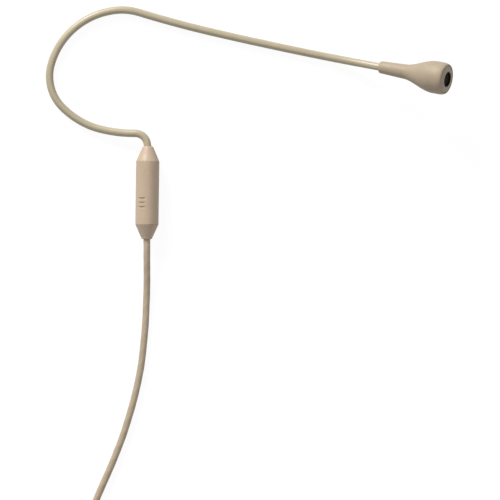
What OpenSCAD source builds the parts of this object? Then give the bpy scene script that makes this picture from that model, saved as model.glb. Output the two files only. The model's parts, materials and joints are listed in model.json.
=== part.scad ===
// Single-ear headworn microphone, lying flat: +Z is up out of the table it lies on.
// The hook and boom are one formed tube, drawn in stretches from a table of bends.

/* [Formed hook and boom] */
// Outside diameter of the formed tube
tube_d = 2.65; // [2.4:0.05:2.7]
// Bore of the formed tube
tube_bore = 1.8; // [1.75:0.05:1.9]
// Diameter of the malleable form wire
wire_d = 0.8; // [0.6:0.05:0.8]
// Diameter of the microphone's own lead
lead_d = 0.7; // [0.5:0.05:0.7]

/* [Slug behind the ear] */
// Outside diameter of the slug
slug_d = 8.1; // [7.9:0.1:8.5]
// Length of the slug's sleeve
sleeve_len = 22; // [21.8:0.1:22.4]
// Length of the cone the tube leaves by
top_cone_len = 5.3; // [5:0.1:5.6]
// Length of the cone the cable leaves by
bottom_cone_len = 5.1; // [4.8:0.1:5.4]

/* [Capsule housing] */
// Largest diameter of the housing
capsule_d = 11.2; // [11.1:0.1:11.6]
// Diameter of the sound inlet
inlet_d = 5.3; // [4.4:0.1:5.6]
// How steeply the housing points up from the table, in degrees
capsule_climb = 26.6; // [22:0.2:30]

/* [Cable] */
// Diameter of the cable's jacket
cable_d = 2.4; // [2.2:0.1:2.5]
// Thickness of the straps round the coil
tie_t = 0.6; // [0.4:0.1:0.8]

/* [Jack plug] */
// Diameter of the plug's barrel
barrel_d = 8; // [7.9:0.1:8.4]
// Diameter of the jack's pin
jack_d = 3.5; // [3.5:0.1:3.5]
// Length of the jack's pin
jack_len = 14; // [14:0.5:15]
// Number of flutes round the locking collar
flutes = 18; // [12:1:20]

/* [Hidden] */

$fn = 48;

beige = "#c8b49a";
olive_beige = "#c4b698";
jacket_beige = "#b8a583";
bright_steel = "#c9ccd0";
dark_steel = "#6f7276";
gold = "#c9a24a";
copper = "#b87333";
board_green = "#2f6b4a";
chip_black = "#26262a";
rubber_beige = "#a8967a";
white_resin = "#e6e2d8";

// Gap round a piece that is pushed or glued into another
glue_gap = 0.03;
// Gap round the collar, which turns
running_gap = 0.06;
// How far a shape runs into the next one of the same piece, or a cut runs past a face
overlap = 0.05;
through = 1;

// ---- Formed tube -------------------------------------------------------------------------
// The slug's open mouth, where the formed tube comes out, and the way the slug points
slug_mouth = [-35.6, -7.9, slug_d / 2];
slug_heading = 89.2;
tube_depth = 11;
mouth_depth = 1;
// The housing's heading, and how far the tube runs into it
capsule_heading = -11.8;
neck_in = 9.9;
tube_r = tube_d / 2;
// The tube comes down from the slug's axis to the table over four stretches: it leans out of the
// mouth, turns its corner, runs on, and levels out. Its slope follows from their lengths, where a
// stretch in which the slope changes counts by its average
lean = 1;
corner = 6;
run_down = 13;
level_out = 6;
way_down = mouth_depth / 4 + lean * 3 / 4 + corner + run_down + level_out / 2;
drop = -asin((slug_d / 2 - tube_r) / way_down);
// How steeply the boom climbs where the neck begins
neck_climb = 16;

// One row for each stretch: length, heading at its end, climb at its end
bends = [
    [tube_depth - mouth_depth, slug_heading, 0],
    [mouth_depth, 100, drop / 2],
    [lean, 100, drop],
    [corner, 180, drop],
    [run_down, 165, drop],
    [level_out, 152, 0],
    [9, 135, 0],
    [8, 105, 0],
    [4, 90, 0],
    [4, 75, 0],
    [12, 48, 0],
    [20, 5, 0],
    [4, -7, 0],
    [4, -17, 0],
    [27, -13, 0],
    [35.2, -11.5, 0],
    [14, -11.5, neck_climb],
    [4, capsule_heading, (neck_climb + capsule_climb) / 2],
    [4, capsule_heading, capsule_climb],
    [3, capsule_heading, capsule_climb],
    [neck_in, capsule_heading, capsule_climb],
];
// First and last row of each length of tube
lower_rows = [0, 7];
hook_flex_rows = [8, 9];
upper_rows = [10, 11];
boom_flex_rows = [12, 13];
boom_rows = [14, 16];
neck_flex_rows = [17, 18];
neck_rows = [19, 20];
capsule_row = 20;

// Longest step and largest turn between two rings of the tube
ring_gap = 3;
ring_turn = 9;
tube_sides = 16;
wire_sides = 8;

function way(heading, climb) = [
    cos(climb) * cos(heading),
    cos(climb) * sin(heading),
    sin(climb),
];
function mix(a, b, t) = a + (b - a) * t;
function steps(row, from) = max(
    1,
    ceil(row[0] / ring_gap),
    ceil(abs(row[1] - from[1]) / ring_turn),
    ceil(abs(row[2] - from[2]) / ring_turn)
);

// The rings of one stretch, each as [place, heading, climb]
function stretch(row, from) =
    let (n = steps(row, from))
    [
        for (
            k = 0, p = from[0];
            k <= n;
            p = p + row[0] / n * way(
                mix(from[1], row[1], (k + 0.5) / n),
                mix(from[2], row[2], (k + 0.5) / n)
            ),
            k = k + 1
        )
        [p, mix(from[1], row[1], k / n), mix(from[2], row[2], k / n)]
    ];

function last(list) = list[len(list) - 1];
tube_start = [slug_mouth - tube_depth * way(slug_heading, 0), slug_heading, 0];
// Where row i of the bends begins
function row_start(i) = i == 0 ? tube_start : last(stretch(bends[i - 1], row_start(i - 1)));
// Every ring from the first to the last row of a length of tube
function rings(rows) = concat(
    [row_start(rows[0])],
    [
        for (i = [rows[0]:rows[1]])
            let (found = stretch(bends[i], row_start(i)))
            for (k = [1:len(found) - 1])
                found[k]
    ]
);

function unit(v) = v / norm(v);
function side_of(forward) = unit(cross([0, 0, 1], forward));

// A ring of points about a place, square to the way forward and lifted off its middle
function ring_points(place, forward, r, lift, sides) =
    let (side = side_of(forward), up = cross(forward, side))
    [
        for (j = [0:sides - 1])
            let (a = 360 * j / sides)
            place + up * lift + r * (cos(a) * side + sin(a) * up)
    ];

// Triangles between ring i and the next one, seen from outside, or from inside if turned
function band(i, sides, first, turned) = [
    for (j = [0:sides - 1])
        let (
            a = first + i * sides + j,
            b = first + i * sides + (j + 1) % sides,
            c = b + sides,
            d = a + sides
        )
        each turned ? [[a, c, d], [a, b, c]] : [[a, d, c], [a, c, b]]
];

// A solid rod through rings given as [place, forward]
module rod(path, r, lift, sides) {
    n = len(path);
    points = [for (s = path) each ring_points(s[0], s[1], r, lift, sides)];
    walls = [for (i = [0:n - 2]) each band(i, sides, 0, false)];
    start_cap = [for (j = [0:sides - 1]) j];
    end_cap = [for (j = [0:sides - 1]) n * sides - 1 - j];
    polyhedron(points, concat(walls, [start_cap, end_cap]));
}

// A hollow tube through rings given as [place, forward]
module pipe(path, r, bore_r, sides) {
    n = len(path);
    inner = n * sides;
    outer_points = [for (s = path) each ring_points(s[0], s[1], r, 0, sides)];
    inner_points = [for (s = path) each ring_points(s[0], s[1], bore_r, 0, sides)];
    outer_walls = [for (i = [0:n - 2]) each band(i, sides, 0, false)];
    inner_walls = [for (i = [0:n - 2]) each band(i, sides, inner, true)];
    end = (n - 1) * sides;
    start_face = [
        for (j = [0:sides - 1])
            let (k = (j + 1) % sides)
            each [[j, k, inner + k], [j, inner + k, inner + j]]
    ];
    end_face = [
        for (j = [0:sides - 1])
            let (a = end + j, b = end + (j + 1) % sides)
            each [[a, inner + b, b], [a, inner + a, inner + b]]
    ];
    polyhedron(
        concat(outer_points, inner_points),
        concat(outer_walls, inner_walls, start_face, end_face)
    );
}

function formed_path(rows) = [for (s = rings(rows)) [s[0], way(s[1], s[2])]];

module formed_tube(rows) {
    color(olive_beige) pipe(formed_path(rows), tube_r, tube_bore / 2, tube_sides);
}

// The form wire and the lead lie one below and one above the middle of the bore
strand_gap = 0.1;
wire_lift = strand_gap - (tube_bore - wire_d) / 2;
lead_lift = (tube_bore - lead_d) / 2 - strand_gap;

module form_wire(rows) {
    color(bright_steel) rod(formed_path(rows), wire_d / 2, wire_lift, wire_sides);
}

module mic_lead(rows) {
    color(copper) rod(formed_path(rows), lead_d / 2, lead_lift, wire_sides);
}

// A ring of one section turned about Z
module ring_solid(r, bore_r, low, high) {
    rotate_extrude() translate([bore_r, low]) square([r - bore_r, high - low]);
}

module disc(r, low, high) {
    translate([0, 0, low]) cylinder(r = r, h = high - low);
}

// ---- Slug: depth is measured from its mouth, down its axis --------------------------------
slug_r = slug_d / 2;
sleeve_bore_r = 3.2;
spigot_r = sleeve_bore_r - glue_gap;
spigot_len = 3;
mouth_r = 1.75;
mouth_rim = 0.25;
mouth_bore_r = mouth_r - mouth_rim;
countersink = 1.2;
tube_hole_r = tube_r + glue_gap;
cable_fit = 0.08;
cable_hole_r = cable_d / 2 + cable_fit;
outlet_r = 1.95;
outlet_round = 0.5;
shoulder_1 = top_cone_len;
shoulder_2 = top_cone_len + sleeve_len;
slug_end = shoulder_2 + bottom_cone_len;
cable_end_depth = 22.6;
cable_side = shoulder_2 - spigot_len;

module in_slug() {
    translate(slug_mouth) rotate([0, 90, slug_heading + 180]) children();
}

// Three short grip slots stand low on the side that faces up
slot_depth = 0.3;
slot_count = 3;
slot_pitch = 1.5;
slot_first = 18.3;
slot_reach = 3;
slot_w = 0.7;
slot_turn = 28;

module grip_slot() {
    cut = through + slot_depth;
    translate([-slug_r - through, 0, 0]) rotate([0, 90, 0]) {
        translate([-slot_w / 2, -slot_reach / 2, 0]) cube([slot_w, slot_reach, cut]);
        for (end = [-1, 1])
            translate([0, end * slot_reach / 2, 0]) cylinder(d = slot_w, h = cut);
    }
}

module slug_sleeve() {
    color(beige) in_slug() difference() {
        ring_solid(slug_r, sleeve_bore_r, shoulder_1, shoulder_2);
        for (i = [0:slot_count - 1])
            rotate([0, 0, slot_turn])
                translate([0, 0, slot_first + i * slot_pitch]) grip_slot();
    }
}

module slug_top_cap() {
    color(beige) in_slug() rotate_extrude() polygon([
        [mouth_bore_r, 0],
        [mouth_r, 0],
        [slug_r, shoulder_1],
        [spigot_r, shoulder_1],
        [spigot_r, shoulder_1 + spigot_len],
        [tube_hole_r, shoulder_1 + spigot_len],
        [tube_hole_r, countersink],
    ]);
}

module slug_bottom_cap() {
    cone_foot = slug_end - outlet_round;
    color(beige) in_slug() rotate_extrude() polygon(concat(
        [
            [cable_hole_r, cable_side],
            [spigot_r, cable_side],
            [spigot_r, shoulder_2],
            [slug_r, shoulder_2],
        ],
        [
            for (a = [0:15:90])
                [outlet_r - outlet_round * (1 - cos(a)), cone_foot + outlet_round * sin(a)]
        ],
        [[cable_hole_r, slug_end]]
    ));
}

anchor_r = 2.5;
anchor_len = 2;

module tube_anchor() {
    anchor_start = shoulder_1 + spigot_len;
    color(gold) in_slug()
        ring_solid(anchor_r, tube_hole_r, anchor_start, anchor_start + anchor_len);
}

board_start = 12;
board_len = 9;
board_w = 5;
board_t = 0.6;

module splice_board() {
    color(board_green) in_slug()
        translate([-board_t / 2, -board_w / 2, board_start]) cube([board_t, board_w, board_len]);
}

// One chip stands on the board's upper face, at a depth along it and a place across it
module chip(depth, across, w, h, len) {
    translate([-board_t / 2 - h, across - w / 2, depth]) cube([h, w, len]);
}

module splice_components() {
    color(chip_black) in_slug() {
        for (across = [-1.3, 1.3])
            chip(depth = 14.2, across = across, w = 1, h = 0.6, len = 1.8);
        chip(depth = 17, across = 0, w = 1.4, h = 0.7, len = 2);
    }
}

tail_r = 0.15;
tail_spread = 0.2;

// Two fine wires side by side, on a face that is lift above the axis
module wire_pair(low, high, lift) {
    for (side = [-1, 1])
        translate([-lift, side * tail_spread, low]) cylinder(r = tail_r, h = high - low, $fn = 16);
}

pad_len = 1.2;

module splice_leads() {
    lift = board_t / 2 + tail_r;
    color(copper) in_slug() {
        wire_pair(tube_depth, board_start + pad_len, lift);
        wire_pair(board_start + board_len - pad_len, cable_end_depth, lift);
    }
}

crimp_r = 2.2;

module cable_crimp() {
    color(bright_steel) in_slug()
        ring_solid(crimp_r, cable_hole_r, cable_end_depth + 0.1, cable_side);
}

// ---- Formed tube, wire and lead, in the lengths that the malleable zones part --------------
module hook_tube_lower() { formed_tube(lower_rows); }
module hook_wire_lower() { form_wire(lower_rows); }
module hook_lead_lower() { mic_lead(lower_rows); }
module hook_flex_tube() { formed_tube(hook_flex_rows); }
module hook_flex_wire() { form_wire(hook_flex_rows); }
module hook_flex_lead() { mic_lead(hook_flex_rows); }
module hook_tube_upper() { formed_tube(upper_rows); }
module hook_wire_upper() { form_wire(upper_rows); }
module hook_lead_upper() { mic_lead(upper_rows); }
module boom_flex_tube() { formed_tube(boom_flex_rows); }
module boom_flex_wire() { form_wire(boom_flex_rows); }
module boom_flex_lead() { mic_lead(boom_flex_rows); }
module boom_tube() { formed_tube(boom_rows); }
module boom_wire() { form_wire(boom_rows); }
module boom_lead() { mic_lead(boom_rows); }
module neck_flex_tube() { formed_tube(neck_flex_rows); }
module neck_flex_wire() { form_wire(neck_flex_rows); }
module neck_flex_lead() { mic_lead(neck_flex_rows); }
module neck_tube() { formed_tube(neck_rows); }
module neck_wire() { form_wire(neck_rows); }
module neck_lead() { mic_lead(neck_rows); }

// ---- Capsule: distances run from its narrow end, along its axis ----------------------------
capsule_r = capsule_d / 2;
narrow_r = 2.1;
narrow_round = 0.35;
waist_r = 2.54;
waist = 9.25;
belly = 21.25;
bell_step = 0.75;
land_end = 23.7;
lip = 25.7;
lip_r = 4.95;
face = 26.2;
cavity_r = 4.85;
can_seat = 20.2;
neck_bore_len = 7;
ferrule_bore_r = 1.85;
ferrule_end = neck_in;
inner_step = 0.9;
wall = 0.9;
can_r = 4.8;
can_wall = 0.25;
can_back = 20.4;
can_front = 25;
inside_can_r = can_r - can_wall - glue_gap;

module in_capsule() {
    at = row_start(capsule_row);
    translate(at[0]) rotate([0, 90 - at[2], at[1]]) children();
}

function ease(t) = t * t * (3 - 2 * t);
function bell_r(z) = mix(waist_r, capsule_r, ease((z - waist) / (belly - waist)));

module capsule_body() {
    lip_drop = capsule_r - lip_r;
    color(beige) in_capsule() rotate_extrude() polygon(concat(
        [[tube_hole_r, 0]],
        [
            for (a = [0:30:90])
                [narrow_r - narrow_round * (1 - sin(a)), narrow_round * (1 - cos(a))]
        ],
        [for (z = [waist:bell_step:belly]) [bell_r(z), z]],
        [
            for (a = [0:15:90])
                [capsule_r - lip_drop * (1 - cos(a)), mix(land_end, lip, sin(a))]
        ],
        [[cavity_r, lip], [cavity_r, can_seat]],
        [for (z = [can_seat:-inner_step:ferrule_end + inner_step / 2]) [bell_r(z) - wall, z]],
        [
            [ferrule_bore_r, ferrule_end],
            [ferrule_bore_r, neck_bore_len],
            [tube_hole_r, neck_bore_len],
        ]
    ));
}

// The front cap closes the mouth, bears on the can and holds the felt and the screen in a recess.
// It rises gently from the lip, and turns into the inlet with a round edge
recess_r = 4.2;
recess = 25.45;
felt_front = 25.25;
inlet_r = inlet_d / 2;
inlet_round = 0.3;
cap_chamfer = 0.1;
// The screen is a shallow cup, whose wall lines the inlet
screen_wall = 0.15;
screen_front = 26;

module capsule_nose() {
    cap_r = cavity_r - glue_gap;
    color(beige) in_capsule() rotate_extrude() polygon(concat(
        [[inlet_r, recess], [recess_r, recess], [recess_r, can_front], [cap_r, can_front]],
        [[cap_r, lip - cap_chamfer], [cap_r - cap_chamfer, lip]],
        [
            for (a = [0:15:90])
                [inlet_r + inlet_round * (1 - sin(a)), face - inlet_round * (1 - cos(a))]
        ]
    ));
}

module inlet_screen() {
    color(dark_steel) in_capsule() {
        disc(recess_r - glue_gap, felt_front, recess);
        ring_solid(
            inlet_r - glue_gap, inlet_r - glue_gap - screen_wall,
            recess - overlap, screen_front
        );
    }
}

module felt_disc() {
    color(chip_black) in_capsule() disc(recess_r - glue_gap, can_front, felt_front);
}

module electret_can() {
    sound_hole_r = 0.5;
    hole_ring = 1.6;
    holes = 6;
    color(bright_steel) in_capsule() difference() {
        disc(can_r, can_back, can_front);
        disc(can_r - can_wall, can_back - through, can_front - can_wall);
        for (i = [0:holes - 1])
            rotate([0, 0, 360 * i / holes])
                translate([hole_ring, 0, can_front - through])
                    cylinder(r = sound_hole_r, h = 2 * through, $fn = 24);
    }
}

film_back = 23.8;
film_t = 0.1;
film_ring_r = 3.9;

module diaphragm_ring() {
    color(gold) in_capsule()
        ring_solid(inside_can_r, film_ring_r, film_back + film_t, can_front - can_wall);
}

module diaphragm() {
    color(bright_steel) in_capsule() disc(inside_can_r, film_back, film_back + film_t);
}

holder_back = 21.2;
plate_back = 23.1;
plate_front = 23.5;

module backplate() {
    vent_r = 0.4;
    vent_ring = 2;
    vents = 4;
    color(gold) in_capsule() difference() {
        disc(film_ring_r - glue_gap, plate_back, plate_front);
        for (i = [0:vents - 1])
            rotate([0, 0, 360 * i / vents])
                translate([vent_ring, 0, plate_back - through])
                    cylinder(r = vent_r, h = 2 * through, $fn = 24);
    }
}

module backplate_holder() {
    holder_bore_r = 3.2;
    color(white_resin) in_capsule() rotate_extrude() polygon([
        [holder_bore_r, holder_back],
        [inside_can_r, holder_back],
        [inside_can_r, film_back],
        [film_ring_r, film_back],
        [film_ring_r, plate_back],
        [holder_bore_r, plate_back],
    ]);
}

fet_board_back = 20.6;

module fet_board() {
    color(board_green) in_capsule() disc(inside_can_r, fet_board_back, holder_back);
}

fet = [1.3, 1.6, 0.6];
fet_at = 0.6;

module fet_chip() {
    color(chip_black) in_capsule()
        translate([fet_at, -fet[1] / 2, fet_board_back - fet[2]]) cube(fet);
}

module can_gasket() {
    color(chip_black) in_capsule()
        ring_solid(cavity_r - glue_gap, can_r - can_wall, can_seat, can_back);
}

module lead_tails() {
    color(copper) in_capsule() wire_pair(neck_in, fet_board_back, lead_lift);
}

module neck_ferrule() {
    color(gold) in_capsule()
        ring_solid(ferrule_bore_r - glue_gap, tube_hole_r, neck_bore_len + glue_gap, ferrule_end);
}

// ---- Cable: it leaves the slug, comes down to the table and runs to its coil ---------------
cable_r = cable_d / 2;
cable_sides = 8;
// The spare cable is wound four turns wide and four turns high, on straps tied round it
coil_at = [-42, -152, 0];
coil_r = 13.2;
turns_across = 4;
bundle = turns_across * cable_d;
bundle_round = 1.2;
// Radius of the outermost turn, and heights of the lowest and the highest one
outer_turn_r = coil_r + (bundle - cable_d) / 2;
low_turn = tie_t + cable_r;
high_turn = low_turn + bundle - cable_d;
tail_y = coil_at[1] - outer_turn_r;
plug_axis_z = barrel_d / 2;

cable_route = [
    [-35.9, -30.5, slug_mouth[2]],
    [-36, -35.5, slug_mouth[2]],
    [-36, -40.5, slug_mouth[2]],
    [-36, -44.5, 4],
    [-36, -49, 3.4],
    [-36, -54, 2.4],
    [-36.1, -59, 1.6],
    [-36.3, -64, 1.3],
    [-36.5, -69, cable_r],
    [-36.9, -74, cable_r],
    [-37.4, -79, cable_r],
    [-38, -84, cable_r],
    [-38.9, -89, cable_r],
    [-40, -94, cable_r],
    [-41.3, -99, cable_r],
    [-42.8, -104, cable_r],
    [-44.4, -109, cable_r],
    [-46.3, -114, cable_r],
    [-48.3, -119, cable_r],
    [-50.5, -124, cable_r],
    [-52.7, -129, cable_r],
    [-54.8, -134, cable_r],
    [-56.6, -139, 1.3],
    [-57.9, -144, 1.5],
    [-58.6, -148, 1.7],
    [coil_at[0] - outer_turn_r, coil_at[1], low_turn],
];
tail_route = [
    [-42, tail_y, high_turn],
    [-38, tail_y, 8.9],
    [-34, tail_y, 8.2],
    [-30, tail_y, 7.1],
    [-26, tail_y, 5.8],
    [-22, tail_y, 4.7],
    [-19, tail_y, 4.2],
    [-16, tail_y, plug_axis_z],
    [-12, tail_y, plug_axis_z],
    [-6, tail_y, plug_axis_z],
    [0, tail_y, plug_axis_z],
    [5.5, tail_y, plug_axis_z],
];

function route_way(route, i) = unit(route[min(i + 1, len(route) - 1)] - route[max(i - 1, 0)]);
function routed(route) = [for (i = [0:len(route) - 1]) [route[i], route_way(route, i)]];

module cable() {
    color(jacket_beige) {
        rod(routed(cable_route), cable_r, 0, cable_sides);
        rod(routed(tail_route), cable_r, 0, cable_sides);
    }
}

// The bundle's section, grown by an amount all round
module bundle_section(grow) {
    r = bundle_round + grow;
    half = bundle / 2 - bundle_round;
    translate([coil_r, tie_t + bundle / 2]) {
        square([bundle + 2 * grow, 2 * half], center = true);
        square([2 * half, bundle + 2 * grow], center = true);
        for (x = [-1, 1], y = [-1, 1])
            translate([x * half, y * half]) circle(r = r, $fn = 32);
    }
}

module cable_coil() {
    color(jacket_beige) translate(coil_at) rotate_extrude($fn = 64) bundle_section(0);
}

tie_turns = [40, 220];
tie_angle = 26;

module coil_ties() {
    color(chip_black) translate(coil_at)
        for (turn = tie_turns)
            rotate([0, 0, turn]) rotate_extrude(angle = tie_angle, $fn = 64) difference() {
                bundle_section(tie_t);
                bundle_section(0);
            }
}

// ---- Jack plug: distances run from the boot's thin end, along the plug ---------------------
plug_at = [-16, tail_y, plug_axis_z];
barrel_r = barrel_d / 2;
boot_thin_r = 1.9;
boot_thick_r = 2.9;
boot_len = 15;
boot_hole_r = cable_r + glue_gap;
groove_start = 1;
groove_pitch = 2;
groove_count = 6;
groove_w = 0.9;
groove_depth = 0.45;
barrel_end = 32;
rear_lip = 1.2;
boot_flange = 1.5;
barrel_bore_r = 3.3;
front_wall = 29;
stem_r = 2.4;
stem_bore_r = 1.5;
collar_start = barrel_end + 0.3;
collar_end = 41;
pin_start = 37.5;
clip_at = 35;
jack_r = jack_d / 2;

module in_plug() {
    translate(plug_at) rotate([0, 90, 0]) children();
}

module plug_boot() {
    color(rubber_beige) in_plug() rotate_extrude() difference() {
        polygon([
            [boot_hole_r, 0],
            [boot_thin_r, 0],
            [boot_thick_r, boot_len],
            [boot_thick_r, boot_len + rear_lip],
            [barrel_bore_r - glue_gap, boot_len + rear_lip],
            [barrel_bore_r - glue_gap, boot_len + rear_lip + boot_flange],
            [boot_hole_r, boot_len + rear_lip + boot_flange],
        ]);
        for (i = [0:groove_count - 1])
            let (low = groove_start + i * groove_pitch)
            translate([mix(boot_thin_r, boot_thick_r, low / boot_len) - groove_depth, low])
                square([through, groove_w]);
    }
}

barrel_chamfer = 0.4;
clip_groove = 0.3;
clip_groove_w = 0.5;
seat_len = 1;

module plug_barrel() {
    color(bright_steel) in_plug() rotate_extrude() polygon([
        [boot_thick_r + glue_gap, boot_len],
        [barrel_r - barrel_chamfer, boot_len],
        [barrel_r, boot_len + barrel_chamfer],
        [barrel_r, barrel_end - barrel_chamfer],
        [barrel_r - barrel_chamfer, barrel_end],
        [stem_r, barrel_end],
        [stem_r, clip_at],
        [stem_r - clip_groove, clip_at],
        [stem_r - clip_groove, clip_at + clip_groove_w],
        [stem_r, clip_at + clip_groove_w],
        [stem_r, pin_start - seat_len],
        [stem_bore_r, pin_start - seat_len],
        [stem_bore_r, front_wall],
        [barrel_bore_r, front_wall],
        [barrel_bore_r, boot_len + rear_lip],
        [boot_thick_r + glue_gap, boot_len + rear_lip],
    ]);
}

clamp_r = 2.3;
clamp_start = 18;
clamp_len = 2.5;
clamp_slit = 0.6;

module cable_clamp() {
    color(gold) in_plug() difference() {
        ring_solid(clamp_r, cable_r + glue_gap, clamp_start, clamp_start + clamp_len);
        translate([through, -clamp_slit / 2, clamp_start - through])
            cube([clamp_r, clamp_slit, clamp_len + 2 * through]);
    }
}

// The collar turns on the stem, held between the barrel and a clip in the stem's groove
collar_web = 2.4;
collar_cup_r = 2.9;
collar_gap = 0.05;
rear_chamfer = 0.3;
front_chamfer = 0.6;
flute_r = 0.5;
flute_out = 0.275;
flute_start = 1.2;
flute_len = 5.4;

module lock_collar() {
    collar_r = barrel_r - collar_gap;
    web_end = collar_start + collar_web;
    color(bright_steel) in_plug() difference() {
        rotate_extrude() polygon([
            [stem_r + running_gap, collar_start],
            [collar_r - rear_chamfer, collar_start],
            [collar_r, collar_start + rear_chamfer],
            [collar_r, collar_end - front_chamfer],
            [collar_r - front_chamfer, collar_end],
            [collar_cup_r, collar_end],
            [collar_cup_r, web_end],
            [stem_r + running_gap, web_end],
        ]);
        for (i = [0:flutes - 1])
            rotate([0, 0, 360 * i / flutes])
                translate([collar_r + flute_out, 0, collar_start + flute_start])
                    cylinder(r = flute_r, h = flute_len, $fn = 24);
    }
}

clip_out = 0.35;
clip_opening = 1;

module collar_clip() {
    color(dark_steel) in_plug() difference() {
        ring_solid(
            stem_r + clip_out, stem_r - clip_groove + glue_gap,
            clip_at + glue_gap, clip_at + clip_groove_w - glue_gap
        );
        translate([through, -clip_opening / 2, clip_at - through])
            cube([stem_r, clip_opening, 2 * through + clip_groove_w]);
    }
}

// The pin has three contacts, on a common axis and kept apart by resin
contact_gap = 0.4;
tip_len = 3.6;
ring_len = 2;
core_r = 1.1;
rod_r = 0.5;
rod_back = front_wall - 3;
core_back = front_wall - 2.2;
tip_shoulder = 0.2;
tip_point = 0.15;
tip_neck_r = 1.15;
tip_head_r = 1.6;
pin_end = pin_start + jack_len;
tip_back = pin_end - tip_len;
ring_front = tip_back - contact_gap;
ring_back = ring_front - ring_len;
sleeve_front = ring_back - contact_gap;
sleeve_back = front_wall - 1.5;
lug_len = 4;
lug_w = 1.2;
lug_t = 0.3;
lug_out = 1.28;

module jack_sleeve() {
    color(gold) in_plug() rotate_extrude() polygon([
        [core_r, sleeve_back],
        [stem_bore_r - glue_gap, sleeve_back],
        [stem_bore_r - glue_gap, pin_start - seat_len],
        [stem_r, pin_start - seat_len],
        [stem_r, pin_start],
        [jack_r, pin_start],
        [jack_r, sleeve_front],
        [core_r, sleeve_front],
    ]);
}

module jack_ring() {
    color(gold) in_plug() ring_solid(jack_r, core_r, ring_back, ring_front);
}

module jack_tip() {
    neck_at = tip_back + 1.4;
    color(gold) in_plug() rotate_extrude() polygon([
        [0, rod_back],
        [rod_r, rod_back],
        [rod_r, tip_back],
        [jack_r, tip_back],
        [jack_r, tip_back + tip_shoulder],
        [tip_neck_r, neck_at - tip_shoulder],
        [tip_neck_r, neck_at],
        [tip_head_r, neck_at + 0.6],
        [tip_head_r, neck_at + 0.9],
        [rod_r, pin_end - tip_point],
        [0, pin_end],
    ]);
}

module jack_insulators() {
    color(white_resin) in_plug() {
        ring_solid(core_r - glue_gap, rod_r + glue_gap, core_back, tip_back);
        ring_solid(jack_r, core_r + glue_gap, sleeve_front, ring_back);
        ring_solid(jack_r, core_r + glue_gap, ring_front, tip_back);
    }
}

module solder_lugs() {
    color(gold) in_plug()
        for (side = [-1, 1])
            translate([-lug_w / 2, side * lug_out - lug_t / 2, sleeve_back - lug_len])
                cube([lug_w, lug_t, lug_len]);
}

slug_sleeve();
slug_top_cap();
slug_bottom_cap();
tube_anchor();
splice_board();
splice_components();
splice_leads();
cable_crimp();
hook_tube_lower();
hook_wire_lower();
hook_lead_lower();
hook_flex_tube();
hook_flex_wire();
hook_flex_lead();
hook_tube_upper();
hook_wire_upper();
hook_lead_upper();
boom_flex_tube();
boom_flex_wire();
boom_flex_lead();
boom_tube();
boom_wire();
boom_lead();
neck_flex_tube();
neck_flex_wire();
neck_flex_lead();
neck_tube();
neck_wire();
neck_lead();
capsule_body();
capsule_nose();
inlet_screen();
felt_disc();
electret_can();
diaphragm_ring();
diaphragm();
backplate();
backplate_holder();
fet_board();
fet_chip();
can_gasket();
lead_tails();
neck_ferrule();
cable();
cable_coil();
coil_ties();
plug_boot();
plug_barrel();
cable_clamp();
lock_collar();
collar_clip();
jack_sleeve();
jack_ring();
jack_tip();
jack_insulators();
solder_lugs();
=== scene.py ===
# Looks of the headset microphone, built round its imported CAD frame. Lengths are in metres.
import json
import math

import bmesh
import bpy
import numpy as np
from mathutils import Matrix, Vector


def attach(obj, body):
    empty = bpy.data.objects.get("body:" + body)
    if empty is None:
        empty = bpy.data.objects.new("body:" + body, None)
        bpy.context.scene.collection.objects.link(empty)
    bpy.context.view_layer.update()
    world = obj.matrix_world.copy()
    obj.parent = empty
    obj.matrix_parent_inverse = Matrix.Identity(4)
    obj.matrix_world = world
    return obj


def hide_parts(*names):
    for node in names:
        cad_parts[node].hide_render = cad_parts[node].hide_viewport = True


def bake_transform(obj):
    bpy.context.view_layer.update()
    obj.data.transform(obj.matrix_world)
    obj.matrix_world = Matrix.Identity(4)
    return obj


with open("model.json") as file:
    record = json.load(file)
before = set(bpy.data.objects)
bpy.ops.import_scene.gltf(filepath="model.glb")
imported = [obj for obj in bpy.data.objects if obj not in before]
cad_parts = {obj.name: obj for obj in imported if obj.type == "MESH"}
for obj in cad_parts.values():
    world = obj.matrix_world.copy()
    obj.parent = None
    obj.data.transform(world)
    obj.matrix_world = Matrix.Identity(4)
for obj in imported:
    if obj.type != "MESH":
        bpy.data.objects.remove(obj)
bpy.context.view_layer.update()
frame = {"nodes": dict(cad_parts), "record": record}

MM = 0.001

# ---- Camera, floor and light ---------------------------------------------------------------
# The camera hangs over the microphone as it lies on the table, with +Y up in the picture
CAMERA_PLACE = (0, -44.1 * MM, 1.5)
TABLE_SEEN = 175 * MM
SENSOR = 36


def make_camera():
    data = bpy.data.cameras.new("camera")
    data.sensor_width = SENSOR
    data.lens = SENSOR * CAMERA_PLACE[2] / TABLE_SEEN
    data.clip_start = 0.1
    data.clip_end = 20
    camera = bpy.data.objects.new("camera", data)
    camera.location = CAMERA_PLACE
    bpy.context.scene.collection.objects.link(camera)
    bpy.context.scene.camera = camera


def make_lamp(name, place, size, power, colour):
    """A square soft light that looks at the middle of the table."""
    data = bpy.data.lights.new(name, "AREA")
    data.size = size
    data.energy = power
    data.color = colour
    lamp = bpy.data.objects.new(name, data)
    lamp.location = place
    lamp.visible_camera = False
    lamp.rotation_euler = (-Vector(place)).to_track_quat("-Z", "Y").to_euler()
    bpy.context.scene.collection.objects.link(lamp)


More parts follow.
